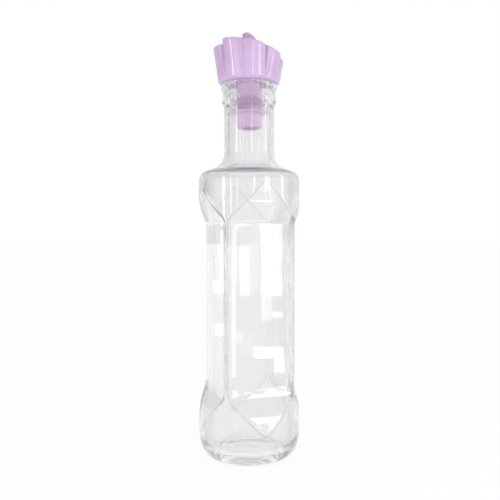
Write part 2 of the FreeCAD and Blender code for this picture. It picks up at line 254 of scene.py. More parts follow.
class CruetFinish(bpy.types.PropertyGroup):
    """Colours of the glass and the plastics."""
    glass: FloatVectorProperty(
        name="Glass", description="Tint of the glass", subtype="COLOR", size=4,
        min=0.0, max=1.0, default=(0.9, 0.905, 0.905, 1.0))
    collar: FloatVectorProperty(
        name="Collar", description="Lilac of the collar", subtype="COLOR", size=4,
        min=0.0, max=1.0, default=(0.592, 0.42, 0.655, 1.0))
    plug: FloatVectorProperty(
        name="Plug", description="Violet of the plug", subtype="COLOR", size=4,
        min=0.0, max=1.0, default=(0.94, 0.7, 0.98, 1.0))


class CruetStage(bpy.types.PropertyGroup):
    """Camera and light."""
    turn: FloatProperty(
        name="Turn", description="Camera's turn round the bottle", subtype="ANGLE",
        default=math.radians(-18.8))
    distance: FloatProperty(
        name="Distance", description="Camera to the bottle's axis", unit="LENGTH", default=0.357)
    eye: FloatProperty(
        name="Eye height", description="Camera above the floor", unit="LENGTH", default=0.1289)
    pitch: FloatProperty(
        name="Pitch", description="Camera looks down by this", subtype="ANGLE",
        default=math.radians(1.69))
    lens: FloatProperty(name="Lens", description="Focal length in millimetres", default=44.4)


# ---------------------------------------------------------------- materials
MIX_FIRST, MIX_SECOND, MIX_RESULT = 6, 7, 2
PRESS_WIDTH = 0.5 * MM
PRESS_DEPTH = 0.07 * MM
RIDGE_WIDTH = 0.6 * MM
# the ridges' share of the painted shade along the glass's lines, and the tint at their middle
RIDGE_SHADE_SHARE = 0.8
LINE_SHADE_TINT = 0.72
RIPPLE_SCALE = 45.0
RIPPLE_DEPTH = 0.16 * MM
DIMPLE_SCALE = 620.0
DIMPLE_DEPTH = 0.5 * MM
DIMPLE_FULL = 0.2 * MM
DIMPLE_END = 1.2 * MM
# colour multiplied into the plastics as painted shade
PAINTED_SHADE_COLOUR = (0.58, 0.5, 0.58, 1.0)
PALE_MOTTLE = 1.04
DARK_MOTTLE = 0.93
PLUG_MOTTLE = 130.0
COLLAR_MOTTLE = 90.0
SKIN_SCALE = 260.0
SKIN_DEPTH = 0.005 * MM


class Nodes:
    """Short hand for the nodes of one material or world."""

    def __init__(self, owner):
        owner.use_nodes = True
        self.tree = owner.node_tree
        self.tree.nodes.clear()

    def put(self, target, value):
        """Wire an output socket into an input socket, or set the input to a number or colour."""
        if isinstance(value, bpy.types.NodeSocket):
            self.tree.links.new(value, target)
        else:
            target.default_value = value

    def add(self, kind, **settings):
        """New node; settings are its attributes, or its inputs where no attribute has the name."""
        node = self.tree.nodes.new(kind)
        for key, value in settings.items():
            if hasattr(node, key):
                setattr(node, key, value)
            else:
                self.put(node.inputs[key.replace("_", " ")], value)
        return node

    def math(self, operation, first, second):
        """Math of two sockets or numbers; gives its output."""
        node = self.add("ShaderNodeMath", operation=operation)
        self.put(node.inputs[0], first)
        self.put(node.inputs[1], second)
        return node.outputs[0]

    def dot(self, vector, axis):
        """Dot product of a vector socket and a fixed axis; gives its output."""
        node = self.add("ShaderNodeVectorMath", operation="DOT_PRODUCT")
        self.put(node.inputs[0], vector)
        self.put(node.inputs[1], axis)
        return node.outputs["Value"]

    def mix_colours(self, share, first, second, blend_type="MIX"):
        """Mix of two colours, each a socket or a colour; gives its output."""
        node = self.add("ShaderNodeMix", data_type="RGBA", blend_type=blend_type, Factor=share)
        self.put(node.inputs[MIX_FIRST], first)
        self.put(node.inputs[MIX_SECOND], second)
        return node.outputs[MIX_RESULT]

    def mix_shaders(self, share, first, second):
        """Mix of two shaders; gives its output."""
        node = self.add("ShaderNodeMixShader", Fac=share)
        self.put(node.inputs[1], first)
        self.put(node.inputs[2], second)
        return node.outputs[0]

    def finish_surface(self, shader, relief):
        """Bump a shader by a relief in metres, and make it the material's surface."""
        bump = self.add("ShaderNodeBump", Distance=1.0, Height=relief)
        self.put(shader.inputs["Normal"], bump.outputs["Normal"])
        self.add("ShaderNodeOutputMaterial", Surface=shader.outputs[0])


def scaled(colour, share):
    """Colour times a number, up to 1 in each channel, and opaque."""
    return tuple(min(1.0, share * channel) for channel in colour[:3]) + (1.0,)


def line_mask(nodes, attribute, width):
    """1 on a line and falling away from it: exp(-(distance / width)^2), where the distance is
    the piece's own attribute."""
    distance = nodes.add("ShaderNodeAttribute", attribute_name=attribute).outputs["Fac"]
    share = nodes.math("DIVIDE", distance, width)
    return nodes.math("POWER", math.exp(-1.0), nodes.math("MULTIPLY", share, share))


def clear_glass(name, tint, gloss):
    """Pressed glass: clear, faintly rippled, tinted darker along the press lines and ridges as
    painted shade of their refraction, raised a little along the press lines, and dimpled where it
    stands."""
    material = bpy.data.materials.new(name)
    nodes = Nodes(material)
    edge = line_mask(nodes, "press_edge", PRESS_WIDTH)
    ridge = line_mask(nodes, "ridge", RIDGE_WIDTH)
    # painted shade: the tint darkens along the press lines and ridges
    lines = nodes.math("MAXIMUM", edge, nodes.math("MULTIPLY", ridge, RIDGE_SHADE_SHARE))
    base = nodes.mix_colours(lines, tint, scaled(tint, LINE_SHADE_TINT))
    shader = nodes.add(
        "ShaderNodeBsdfPrincipled", Base_Color=base, Roughness=0.0, IOR=1.27,
        Transmission_Weight=1.0, Alpha=0.86, Coat_Weight=gloss, Coat_Roughness=0.0)
    where = nodes.add("ShaderNodeTexCoord").outputs["Object"]
    ripple = nodes.add("ShaderNodeTexNoise", Scale=RIPPLE_SCALE, Detail=1.5, Vector=where)
    dimple = nodes.add(
        "ShaderNodeTexVoronoi", feature="SMOOTH_F1", Scale=DIMPLE_SCALE, Vector=where)
    axes = nodes.add("ShaderNodeSeparateXYZ", Vector=where)
    low = nodes.add(
        "ShaderNodeMapRange", Value=axes.outputs["Z"], From_Min=DIMPLE_END, From_Max=DIMPLE_FULL)
    dimples = nodes.math("MULTIPLY", dimple.outputs["Distance"], low.outputs[0])
    relief = nodes.math(
        "ADD",
        nodes.math("MULTIPLY", ripple.outputs["Fac"], RIPPLE_DEPTH),
        nodes.math("MULTIPLY", edge, PRESS_DEPTH),
    )
    relief = nodes.math("ADD", relief, nodes.math("MULTIPLY", dimples, DIMPLE_DEPTH))
    nodes.finish_surface(shader, relief)
    return material


def moulded_plastic(name, colour, mottle_scale, shade_attribute):
    """Glossy moulded plastic: soft mottling of its colour and gloss, a faint uneven skin, and
    painted shade, a darker colour multiplied in where the piece's own attribute falls from 1 to 0."""
    material = bpy.data.materials.new(name)
    nodes = Nodes(material)
    where = nodes.add("ShaderNodeTexCoord").outputs["Object"]
    mottle = nodes.add("ShaderNodeTexNoise", Scale=mottle_scale, Detail=3.0, Vector=where)
    tone = nodes.add("ShaderNodeValToRGB", Fac=mottle.outputs["Fac"])
    low, high = tone.color_ramp.elements
    low.position, high.position = 0.3, 0.7
    low.color, high.color = scaled(colour, DARK_MOTTLE), scaled(colour, PALE_MOTTLE)
    # painted shade: the colour darkens towards the shade colour where the attribute falls below 1
    level = nodes.add("ShaderNodeAttribute", attribute_name=shade_attribute).outputs["Fac"]
    base = nodes.mix_colours(
        nodes.math("SUBTRACT", 1.0, level), tone.outputs["Color"], PAINTED_SHADE_COLOUR, "MULTIPLY")
    gloss = nodes.add(
        "ShaderNodeMapRange", Value=mottle.outputs["Fac"], To_Min=0.26, To_Max=0.4)
    shader = nodes.add(
        "ShaderNodeBsdfPrincipled", Base_Color=base, Roughness=gloss.outputs[0], IOR=1.49,
        Subsurface_Weight=0.2, Subsurface_Radius=(1.0, 0.8, 1.0), Subsurface_Scale=1.5 * MM,
        Coat_Weight=0.7, Coat_Roughness=0.03)
    skin = nodes.add("ShaderNodeTexNoise", Scale=SKIN_SCALE, Vector=where)
    nodes.finish_surface(shader, nodes.math("MULTIPLY", skin.outputs["Fac"], SKIN_DEPTH))
    return material


# ---------------------------------------------------------------- glass bottle
HEEL_HEIGHT = 13.0 * MM
HEEL_UPPER = 18.0 * MM
HEEL_LOWER = 6.5 * MM
FOOT_INNER = 18.6 * MM
FOOT_RISE = 2.4 * MM
FOOT_EDGE = 0.5 * MM
BASE_GLASS = 5.2 * MM
FLOOR_RISE = 1.3 * MM
FLOOR_ROUND = 9.0 * MM
POLE_RING = 0.6 * MM
WAIST_DEPTH = 0.3 * MM
WAIST_RUN = 28.0 * MM
PANEL_RISE = 2.8 * MM
PANEL_DROP = 0.5 * MM
FLARE_RADIUS = 34.0 * MM
FLARE_LEAD = 0.05 * MM
BLEND_LOW = 16.0 * MM
BLEND_HIGH = 7.5 * MM
FLARE_LOW = 34.0 * MM
FLARE_HIGH = 30.0 * MM
WALL_ROWS = (38, 34, 36)
SHOULDER_ROUND = 6.1 * MM
SHOULDER_SLOPE = 19.5
NECK_FILLET = 10.0 * MM
NECK_START = 17.1 * MM
NECK_WALL = 3.2 * MM
INNER_NECK_START = 18.1 * MM
LIP_ROUND = 1.0 * MM
LIP_REACH = 0.6 * MM
INNER_RIDGE_SOFT = 6.0 * MM
INNER_EDGE_SOFT = 1.6 * MM
SAME_RADIUS = 1e-9
LEAST_SLOPE = 0.02
# bead and lip: millimetres beyond the neck, and below the top
BEAD = (
    (0.0, 13.0), (0.02, 12.3), (0.45, 11.6), (1.0, 10.6), (1.2, 9.6), (1.12, 8.2),
    (0.85, 6.3), (0.62, 5.1), (0.72, 4.4), (1.3, 3.5), (1.58, 2.6), (1.6, 1.0),
)


def panel_ends(sizes):
    """Heights where the panels start and end on the round body."""
    return HEEL_HEIGHT + PANEL_RISE, sizes.shoulder_height - PANEL_DROP


def panel_distance(sizes, height, inset):
    """Distance from the axis to a panel at each height.

    From each end it follows a convex arc that starts upright at the round body, then a concave
    arc into the flat; the angle where they meet is acos(1 - depth / (sum of the radii)).
    """
    low, high = panel_ends(sizes)
    edge = sizes.body_radius + FLARE_LEAD - inset
    flat = sizes.panel_flat - inset
    flare = FLARE_RADIUS - inset
    distance = np.full_like(height, flat)
    for along, blend in ((height - low, BLEND_LOW + inset), (high - height, BLEND_HIGH + inset)):
        turn = math.acos(1.0 - (edge - flat) / (flare + blend))
        join = flare * math.sin(turn)
        length = (flare + blend) * math.sin(turn)
        convex = edge - flare + np.sqrt(np.clip(flare ** 2 - along ** 2, 0.0, None))
        concave = flat + blend - np.sqrt(np.clip(blend ** 2 - (length - along) ** 2, 0.0, None))
        reach = np.where(along < join, convex, np.where(along < length, concave, flat))
        distance = np.maximum(distance, reach)
    return np.where((height <= low) | (height >= high), edge, distance)


def wall_curve(radius, low, high):
    """Upright wall: rows close together where the panels flare, far apart along the flats."""
    ends = (low, low + FLARE_LOW, high - FLARE_HIGH, high)
    heights = np.concatenate([
        np.linspace(start, finish, count, endpoint=False)
        for start, finish, count in zip(ends, ends[1:], WALL_ROWS)
    ])
    return np.column_stack((np.full_like(heights, radius), heights))


def dome_curve(edge, last, base, rise):
    """Shallow dome over a round of radius edge, drawn from near the axis to its last ring:
    base + rise - R + sqrt(R^2 - r^2), where R = (edge^2 + rise^2) / (2 rise)."""
    reach = np.linspace(POLE_RING, last, 9)
    curve = (edge ** 2 + rise ** 2) / (2 * rise)
    return np.column_stack((reach, base + rise - curve + np.sqrt(curve ** 2 - reach ** 2)))


def shoulder_curve(sizes, wall, round_radius, neck, fillet, counts):
    """Shoulder: an arc out of the wall, a straight slope and a hollow arc into the neck.

    The slope touches both arcs, so its line lies round_radius from the centre of the first and
    fillet from that of the second, on the other side.
    """
    slope = math.radians(SHOULDER_SLOPE)
    normal = np.array((math.sin(slope), math.cos(slope)))
    centre = np.array((wall - round_radius, sizes.shoulder_height))
    level = normal @ centre + round_radius
    hollow = np.array((neck + fillet, 0.0))
    hollow[1] = (level + fillet - normal[0] * hollow[0]) / normal[1]
    leave = 90.0 - SHOULDER_SLOPE
    return np.vstack((
        bend(centre, round_radius, 0.0, leave, counts[0]),
        run(centre + round_radius * normal, hollow - fillet * normal, counts[1]),
        bend(hollow, fillet, 180.0 + leave, 180.0, counts[2]),
    ))


def outer_profile(sizes):
    """Outside of the bottle from the middle of its base to the top of its lip."""
    radius, neck, top = sizes.body_radius, sizes.neck_radius, sizes.height
    tilt = math.asin((HEEL_HEIGHT - HEEL_LOWER) / (HEEL_UPPER - HEEL_LOWER))
    foot = radius - HEEL_UPPER + (HEEL_UPPER - HEEL_LOWER) * math.cos(tilt)
    bead = [(neck + out * MM, top - down * MM) for out, down in BEAD]
    return np.vstack((
        dome_curve(FOOT_INNER, FOOT_INNER - FOOT_EDGE, 0.0, FOOT_RISE),
        run((FOOT_INNER, 0.0), (foot, 0.0), 4),
        bend((foot, HEEL_LOWER), HEEL_LOWER, -90.0, -math.degrees(tilt), 9),
        bend((radius - HEEL_UPPER, HEEL_HEIGHT), HEEL_UPPER, -math.degrees(tilt), 0.0, 9),
        wall_curve(radius, HEEL_HEIGHT, sizes.shoulder_height),
        shoulder_curve(sizes, radius, SHOULDER_ROUND, neck, NECK_FILLET, (13, 3, 13)),
        run((neck, sizes.shoulder_height + NECK_START), bead[0], 5),
        through(bead, 34),
        bend((neck + LIP_REACH, top - LIP_ROUND), LIP_ROUND, 0.0, 90.0, 6),
    ))


def inner_profile(sizes):
    """Inside of the bottle from the top of its lip down to the middle of its floor."""
    wall = sizes.body_radius - sizes.wall
    bore = sizes.neck_radius - NECK_WALL
    top = sizes.height
    edge = wall - FLOOR_ROUND
    corner = bend((edge, BASE_GLASS + FLOOR_ROUND), FLOOR_ROUND, -90.0, 0.0, 12)
    upward = np.vstack((
        dome_curve(edge, edge, BASE_GLASS, FLOOR_RISE),
        corner[1:],
        wall_curve(wall, BASE_GLASS + FLOOR_ROUND, sizes.shoulder_height),
        shoulder_curve(
            sizes, wall, SHOULDER_ROUND - sizes.wall, bore, NECK_FILLET + sizes.wall, (8, 3, 12)),
        run((bore, sizes.shoulder_height + INNER_NECK_START), (bore, top - LIP_ROUND), 8),
        bend((bore + LIP_ROUND, top - LIP_ROUND), LIP_ROUND, 180.0, 90.0, 6),
        [(bore + LIP_ROUND, top)],
    ))
    return upward[::-1]


def from_ridge(angle):
    """Angle from the nearest ridge, half way between two panels."""
    return angle % PANEL_STEP - PANEL_STEP / 2


def ridge_columns(count):
    """Angles round the axis, drawn together near the ridges: spaced evenly in the running sum of
    1 + 2.6 exp(-(angle from the ridge / 5.5 degrees)^2)."""
    fine = np.linspace(0.0, 2 * math.pi, 8 * count + 1)
    weight = 1.0 + 2.6 * np.exp(-(from_ridge(fine) / math.radians(5.5)) ** 2)
    total = np.concatenate(([0.0], np.cumsum((weight[1:] + weight[:-1]) / 2)))
    return np.interp(np.linspace(0.0, total[-1], count, endpoint=False), total, fine)


def pressed_wall(sizes, profile, angle, inset, pull):
    """Round wall and the two nearest panels at every row and column.

    The wall pulls in to a waist, smoothly over a run at each end of the panels.  Each panel is
    its distance from the axis over the cosine of the angle from its middle.
    """
    radius, height = profile[:, 0], profile[:, 1]
    low, high = panel_ends(sizes)
    waist = smooth_step((height - low) / WAIST_RUN) * smooth_step((high - height) / WAIST_RUN)
    on_wall = radius >= sizes.body_radius - inset - SAME_RADIUS
    wall = np.where(on_wall, sizes.body_radius - inset - pull * waist, radius)[:, None]
    off_panel = np.abs(nearest(angle, PANEL_STEP))[None, :]
    distance = panel_distance(sizes, height, inset)[:, None]
    return wall, distance / np.cos(off_panel), distance / np.cos(PANEL_STEP - off_panel)


def line_distances(profile, angle, wall, panel):
    """Signed distances along the surface from the panels' pressed edges and from the ridges.

    The first is (panel - wall) over the length of its own slope on the surface; the second is
    the angle from the ridge times the radius, within the pressed edges alone.
    """
    along = np.concatenate(([0.0], np.cumsum(np.hypot(*np.diff(profile, axis=0).T))))
    gap = panel - wall
    rise = np.gradient(gap, along, axis=0)
    turn = np.gradient(gap, angle, axis=1) / profile[:, :1]
    edge = gap / np.hypot(rise, turn).clip(LEAST_SLOPE)
    return edge, np.where(edge < 0.0, from_ridge(angle)[None, :] * wall, 1.0)


class CRUET_OT_glass_bottle(bpy.types.Operator):
    """Blown glass bottle with four pressed panels, a long neck and a beaded lip"""
    bl_idname = "cruet.glass_bottle"
    bl_label = "Glass Bottle"

    def execute(self, context):
        """Outside and inside are one closed grid that turns over at the lip."""
        sizes = context.scene.cruet_bottle
        angle = ridge_columns(sizes.columns)
        outer, inner = outer_profile(sizes), inner_profile(sizes)
        inner_pull = WAIST_DEPTH + sizes.ridge_wall - sizes.wall
        wall, near, far = pressed_wall(sizes, outer, angle, 0.0, WAIST_DEPTH)
        edge, ridge = line_distances(outer, angle, wall, near)
        outside = soft_min(wall, soft_min(near, far, sizes.ridge_soft), sizes.edge_soft)
        wall, near, far = pressed_wall(sizes, inner, angle, sizes.wall, inner_pull)
        inside = soft_min(wall, soft_min(near, far, INNER_RIDGE_SOFT), INNER_EDGE_SOFT)
        radius = np.vstack((outside, inside))
        height = np.concatenate((outer[:, 1], inner[:, 1]))[:, None] + 0.0 * radius
        piece = capped_piece("glass_bottle", radius, height, angle)
        keep_values(piece, "press_edge", edge)
        keep_values(piece, "ridge", ridge)
        tint = context.scene.cruet_finish.glass
        finish_piece(piece, clear_glass("clear_glass", tint, 1.0), "bottle")
        piece.data.materials.append(clear_glass("clear_glass_inside", tint, 0.0))
        # the second material takes the inside's rows of quads, and the fan at its pole
        within = np.zeros(len(piece.data.polygons), dtype=np.int32)
        within[len(outer) * sizes.columns:-2 * sizes.columns] = 1
        within[-sizes.columns:] = 1
        piece.data.polygons.foreach_set("material_index", within)
        return {"FINISHED"}


# ---------------------------------------------------------------- pouring plug
TUBE_WALL = 1.7 * MM
SPOUT_WALL = 1.4 * MM
FLANGE_REACH = 2.9 * MM
FLANGE_EDGE = 0.4 * MM
FLANGE_TOP = 0.5 * MM
FIN_REACH = 1.9 * MM
FIN_DROPS = (11.9 * MM, 8.8 * MM)
SEAL_DROP = 17.4 * MM
SEAL_MIDDLE = 1.55 * MM
SEAL_EDGE = 1.0 * MM
SEAL_ROUND = 0.95 * MM
SPOUT_START = 14.0 * MM
MOUTH_START = -0.8 * MM
MOUTH_FALL = 3.1 * MM
MOUTH_SOFT = 0.15
# band round the fins below the lip, which gets painted shade, and the painted shade of the spout
# from a little above the lip
FIN_BAND_LOW = 13.0 * MM
FIN_BAND_HIGH = 7.4 * MM
FIN_BAND_SHADE = 0.5
SPOUT_SHADE_START = 3.0 * MM
SPOUT_SHADE_RUN = 14.0 * MM


def fin_section(tube, level):
    """Thin fin on the tube: flat below, falling away above."""
    fin = tube + FIN_REACH
    return [(tube, level), (fin, level + 0.05 * MM), (fin, level + 0.4 * MM),
            (tube + 0.4 * MM, level + 0.9 * MM), (tube, level + 1.1 * MM)]


def plug_outside(sizes, low, lip):
    """Outside from the foot of the bore to the straight spout: rounded foot, tube, seal ring, two
    fins, flange on its seat, and a hollow cone into the spout."""
    tube, spout = sizes.tube_radius, sizes.spout_radius
    seal = PLUG_BOX[1][0] - SEAL_EDGE
    seal_low = lip - SEAL_DROP
    seal_mid = seal_low + SEAL_MIDDLE
    seat = lip + COLLAR_FLOOR
    flange = tube + FLANGE_REACH
    return np.vstack((
        bend((tube - TUBE_WALL + 0.6 * MM, low + 0.6 * MM), 0.6 * MM, 180.0, 270.0, 4),
        [(tube - 0.8 * MM, low), (tube - 0.5 * MM, low + 0.25 * MM), (tube, low + 2.0 * MM)],
        run((tube, low + 2.4 * MM), (tube, seal_low - 0.3 * MM), 4),
        [(tube, seal_low + 0.2 * MM), (tube + 0.3 * MM, seal_low + 0.5 * MM)],
        run((tube + 0.6 * MM, seal_low + 0.55 * MM), (seal, seal_low + 0.6 * MM), 4),
        bend((seal, seal_mid), SEAL_ROUND, -90.0, 90.0, 14),
        run((seal, seal_mid + SEAL_ROUND), (tube + 0.4 * MM, seal_mid + 1.1 * MM), 4),
        [(tube, seal_mid + 1.5 * MM)],
        *(fin_section(tube, lip - drop) for drop in FIN_DROPS),
        run((tube, lip - FIN_BAND_HIGH), (tube, seat - 0.3 * MM), 4),
        [(tube, seat), (tube + 0.3 * MM, seat)],
        run((tube + 0.6 * MM, seat), (flange - FLANGE_EDGE, seat), 3),
        bend((flange - FLANGE_EDGE, seat + FLANGE_EDGE), FLANGE_EDGE, -90.0, 0.0, 4),
        bend((flange - FLANGE_TOP, seat + 1.1 * MM), FLANGE_TOP, 0.0, 90.0, 5),
        through([(flange - FLANGE_TOP, seat + 1.6 * MM), (tube + 0.4 * MM, seat + 1.75 * MM),
                 (tube - 0.4 * MM, seat + 2.6 * MM), (tube - 1.3 * MM, seat + 5.0 * MM),
                 (spout + 0.5 * MM, seat + 10.5 * MM), (spout, seat + SPOUT_START)], 26),
    ))


def plug_inside(sizes, low, lip):
    """Bore from the straight spout down to its rounded foot."""
    bore = sizes.tube_radius - TUBE_WALL
    channel = sizes.spout_radius - SPOUT_WALL
    seat = lip + COLLAR_FLOOR
    return np.vstack((
        through([(channel, seat + SPOUT_START), (channel + 0.5 * MM, seat + 10.5 * MM),
                 (bore - 0.6 * MM, seat + 3.4 * MM), (bore, seat)], 12),
        run((bore, seat - 1.0 * MM), (bore, low + 0.7 * MM), 8),
    ))


class CRUET_OT_pour_plug(bpy.types.Operator):
    """Pouring plug: tube, seal and fins in the neck, flange and spout with an oblique mouth"""
    bl_idname = "cruet.pour_plug"
    bl_label = "Pouring Plug"

    def execute(self, context):
        """Every column carries the same section, but its tip follows the fall of the mouth, which
        grows evenly from MOUTH_START behind the axis to the spout's front."""
        sizes = context.scene.cruet_plug
        lip = context.scene.cruet_bottle.height
        low, tip = PLUG_BOX[0][2], PLUG_BOX[1][2]
        spout = sizes.spout_radius
        channel = spout - SPOUT_WALL
        outer, inner = plug_outside(sizes, low, lip), plug_inside(sizes, low, lip)
        angle = np.linspace(0.0, 2 * math.pi, sizes.columns, endpoint=False)
        middle = (spout + channel) / 2
        lip_round = (spout - channel) / 2
        across = middle * np.cos(angle)
        share = np.clip((across - MOUTH_START) / (spout - MOUTH_START), 0.0, 1.0)
        mouth = tip - lip_round - MOUTH_FALL * soft_max(share, 0.0, MOUTH_SOFT)
        start = lip + COLLAR_FLOOR + SPOUT_START
        straight = start + (mouth - start) * np.linspace(0.0, 1.0, 14, endpoint=False)[:, None]
        roll = np.radians(np.linspace(0.0, 180.0, 11))[:, None]
        still = np.ones((1, sizes.columns))
        radius = np.vstack((
            outer[:, :1] * still,
            np.full_like(straight, spout),
            (middle + lip_round * np.cos(roll)) * still,
            np.full_like(straight, channel),
            inner[:, :1] * still,
        ))
        height = np.vstack((
            outer[:, 1:] * still,
            straight,
            mouth + lip_round * np.sin(roll),
            straight[::-1],
            inner[:, 1:] * still,
        ))
        piece = ring_piece("pour_plug_moulding", radius, height, angle + sizes.turn)
        # painted shade: the spout darkens above the lip, and the band round the fins darkens by a
        # share, where shade falls on them
        above = smooth_step((height - lip - SPOUT_SHADE_START) / SPOUT_SHADE_RUN)
        band_shade = smooth_step((height - lip + FIN_BAND_LOW) / MM)
        band_shade = band_shade * smooth_step((lip - FIN_BAND_HIGH - height) / MM)
        keep_values(piece, "painted_spout_shade", 1.0 - np.maximum(above, FIN_BAND_SHADE * band_shade))
        material = moulded_plastic(
            "plug_plastic", context.scene.cruet_finish.plug, PLUG_MOTTLE, "painted_spout_shade")
        finish_piece(piece, material, "pour_plug")
        return {"FINISHED"}


# ---------------------------------------------------------------- flower collar
FOOT_ROUND = 2.6 * MM
HOLE_PLAY = 0.2 * MM
HOLE_EDGE = 0.3 * MM
CUP_CORNER = 1.5 * MM
# painted shade in the creases between the petals: its depth, how fast it falls off a petal, and
# its run up from the foot
PETAL_SQUARE = 3.0
CREASE_SHADE = 0.5
CREASE_SHADE_POWER = 1.5
CREASE_SHADE_RUN = 6.0 * MM
SIDE_CREASE = math.radians(100.0)
SIDE_CREASE_LIFT = 1.5 * MM
STEP_TURN = math.radians(1.6)
RIM_BACK_STEP = 2.6 * MM
RIM_LEAN = 2.4 * MM
RIM_SOFT = 0.5 * MM
DIP_START = 3.5 * MM
DIP_SIDE_FALL = 6.4 * MM
DIP_STEP = 2.0 * MM
DIP_FALL = 9.1 * MM


def petal_radius(angle, tip, crease):
    """Radius of a ring of petals: crease + (tip - crease) (1 - |t|^n)^(1/2), where t runs from -1
    to 1 across each petal and n makes its face broad and its corners tight.  The crease at each
    side of the cup is shallower than the rest."""
    across = np.abs(nearest(angle, 2 * LOBE_HALF)) / LOBE_HALF
    swell = np.sqrt(np.clip(1.0 - across ** PETAL_SQUARE, 0.0, 1.0))
    from_side = np.abs(nearest(angle, 2 * math.pi)) - SIDE_CREASE
    lift = SIDE_CREASE_LIFT * np.exp(-(from_side / LOBE_HALF) ** 2)
    return crease + lift + (tip - crease - lift) * swell


def rim_fall(angle, along, rear, front, tip):
    """Fall of the rim below its highest petals, by the distance along the pouring side.

    A step at the rear creases, a gentle lean to DIP_START, a steeper fall to the front creases,
    then a step and a last gentle fall over the pouring petal.
    """
    lean = RIM_LEAN * (along + rear) / (DIP_START + rear)
    side = RIM_LEAN + (DIP_SIDE_FALL - RIM_LEAN) * (along - DIP_START) / (front - DIP_START)
    last = DIP_SIDE_FALL + DIP_STEP
    pour = last + (DIP_FALL - last) * (along - front) / (tip - front)
    fall = soft_max(lean, side, RIM_SOFT)
    from_pour = np.abs(nearest(angle, 2 * math.pi))
    fall = fall + (pour - fall) * smooth_step((LOBE_HALF - from_pour) / STEP_TURN + 0.5)
    rear_share = smooth_step((from_pour - (LOBES - 2) * LOBE_HALF) / STEP_TURN + 0.5)
    return fall + (RIM_BACK_STEP - fall) * rear_share


def petal_angles(count):
    """Angles round the ring of petals, count to a petal and drawn together at the creases:
    t = (u + sin(pi u / 2)) / 2 for u from -1 to 1 across each petal."""
    across = np.linspace(-1.0, 1.0, count, endpoint=False)
    across = (across + np.sin(math.pi * across / 2)) / 2
    return (2 * LOBE_HALF * np.arange(LOBES)[:, None] + LOBE_HALF * across).reshape(1, -1)


class CRUET_OT_flower_collar(bpy.types.Operator):
    """Fluted cup of nine petals with a rounded foot and a rim that falls to the pouring side"""
    bl_idname = "cruet.flower_collar"
    bl_label = "Flower Collar"

    def execute(self, context):
        """Each column runs under the foot, up the outside, over the rim and down the inside."""
        sizes = context.scene.cruet_collar
        plug = context.scene.cruet_plug
        seat, high = COLLAR_BOX[0][2], COLLAR_BOX[1][2]
        foot = sizes.foot_radius
        tip = foot + sizes.flare
        crease = foot + sizes.crease_flare
        edge = seat + FOOT_ROUND
        floor = seat + COLLAR_FLOOR
        corner = floor + CUP_CORNER
        cup = foot - sizes.wall - CUP_CORNER
        hole = plug.tube_radius + HOLE_PLAY
        hole_edge = hole + HOLE_EDGE
        angle = petal_angles(sizes.columns)

        def wall(share, inset):
            """Radius at a share of the height from the foot's edge to the full rim."""
            rim = petal_radius(angle, tip - inset, crease - inset)
            return (foot - inset) * (1.0 - share) + rim * share

        along = wall(1.0, sizes.wall / 2) * np.cos(angle)
        rear, front = crease * math.cos(2 * LOBE_HALF), crease * math.cos(LOBE_HALF)
        rim = high - sizes.wall / 2 - rim_fall(angle, along, rear, front, tip)
        rise = np.linspace(0.0, 1.0, 30)[:, None]
        outer_up = edge + (rim - edge) * rise
        inner_up = corner + (rim - corner) * rise
        inner_share = np.clip((inner_up - edge) / (high - edge), 0.0, None)
        top = (rim - edge) / (high - edge)
        rim_outside, rim_inside = wall(top, 0.0), wall(top, sizes.wall)
        roll = np.radians(np.linspace(0.0, 180.0, 9))[1:-1, None]
        under = np.vstack((
            run((hole_edge, seat), (foot - FOOT_ROUND, seat), 6),
            bend((foot - FOOT_ROUND, edge), FOOT_ROUND, -90.0, 0.0, 10),
        ))
        down = np.vstack((
            bend((cup, corner), CUP_CORNER, 0.0, -90.0, 6),
            run((cup, floor), (hole_edge, floor), 6),
            bend((hole_edge, floor - HOLE_EDGE), HOLE_EDGE, 90.0, 180.0, 3),
            run((hole, floor - HOLE_EDGE), (hole, seat + HOLE_EDGE), 2),
            bend((hole_edge, seat + HOLE_EDGE), HOLE_EDGE, 180.0, 270.0, 3),
        ))
        still = np.ones_like(angle)
        radius = np.vstack((
            under[:, :1] * still,
            wall((outer_up - edge) / (high - edge), 0.0),
            (rim_outside + rim_inside) / 2 + (rim_outside - rim_inside) / 2 * np.cos(roll),
            wall(inner_share, sizes.wall)[::-1],
            down[:, :1] * still,
        ))
        height = np.vstack((
            under[:, 1:] * still,
            outer_up,
            rim + sizes.wall / 2 * np.sin(roll),
            inner_up[::-1],
            down[:, 1:] * still,
        ))
        piece = ring_piece("flower_collar_moulding", radius, height, angle + plug.turn)
        # painted shade: the colour darkens in the creases between the petals, growing up the cup
        # from the foot
        swell = (petal_radius(angle, tip, crease) - crease) / (tip - crease)
        reach = smooth_step((height - edge) / CREASE_SHADE_RUN)
        tone = 1.0 - CREASE_SHADE * reach * (1.0 - swell) ** CREASE_SHADE_POWER
        keep_values(piece, "painted_crease_shade", tone)
        material = moulded_plastic(
            "collar_plastic", context.scene.cruet_finish.collar, COLLAR_MOTTLE, "painted_crease_shade")
        finish_piece(piece, material, "flower_collar")
        return {"FINISHED"}


# ---------------------------------------------------------------- stage
DARK_TO_CAMERA = 0.4
DARK_TO_LEFT = 0.45
REFRACTED_SHARE = 0.5
SOFT_LEVEL = 0.85
SOFT_FALL = 0.22
FLOOR_TONE = (0.96, 0.96, 0.96, 1.0)
FLOOR_GLOW = 0.93
FLOOR_HALF = 6.0
CAMERA_ASIDE = 0.5 * MM
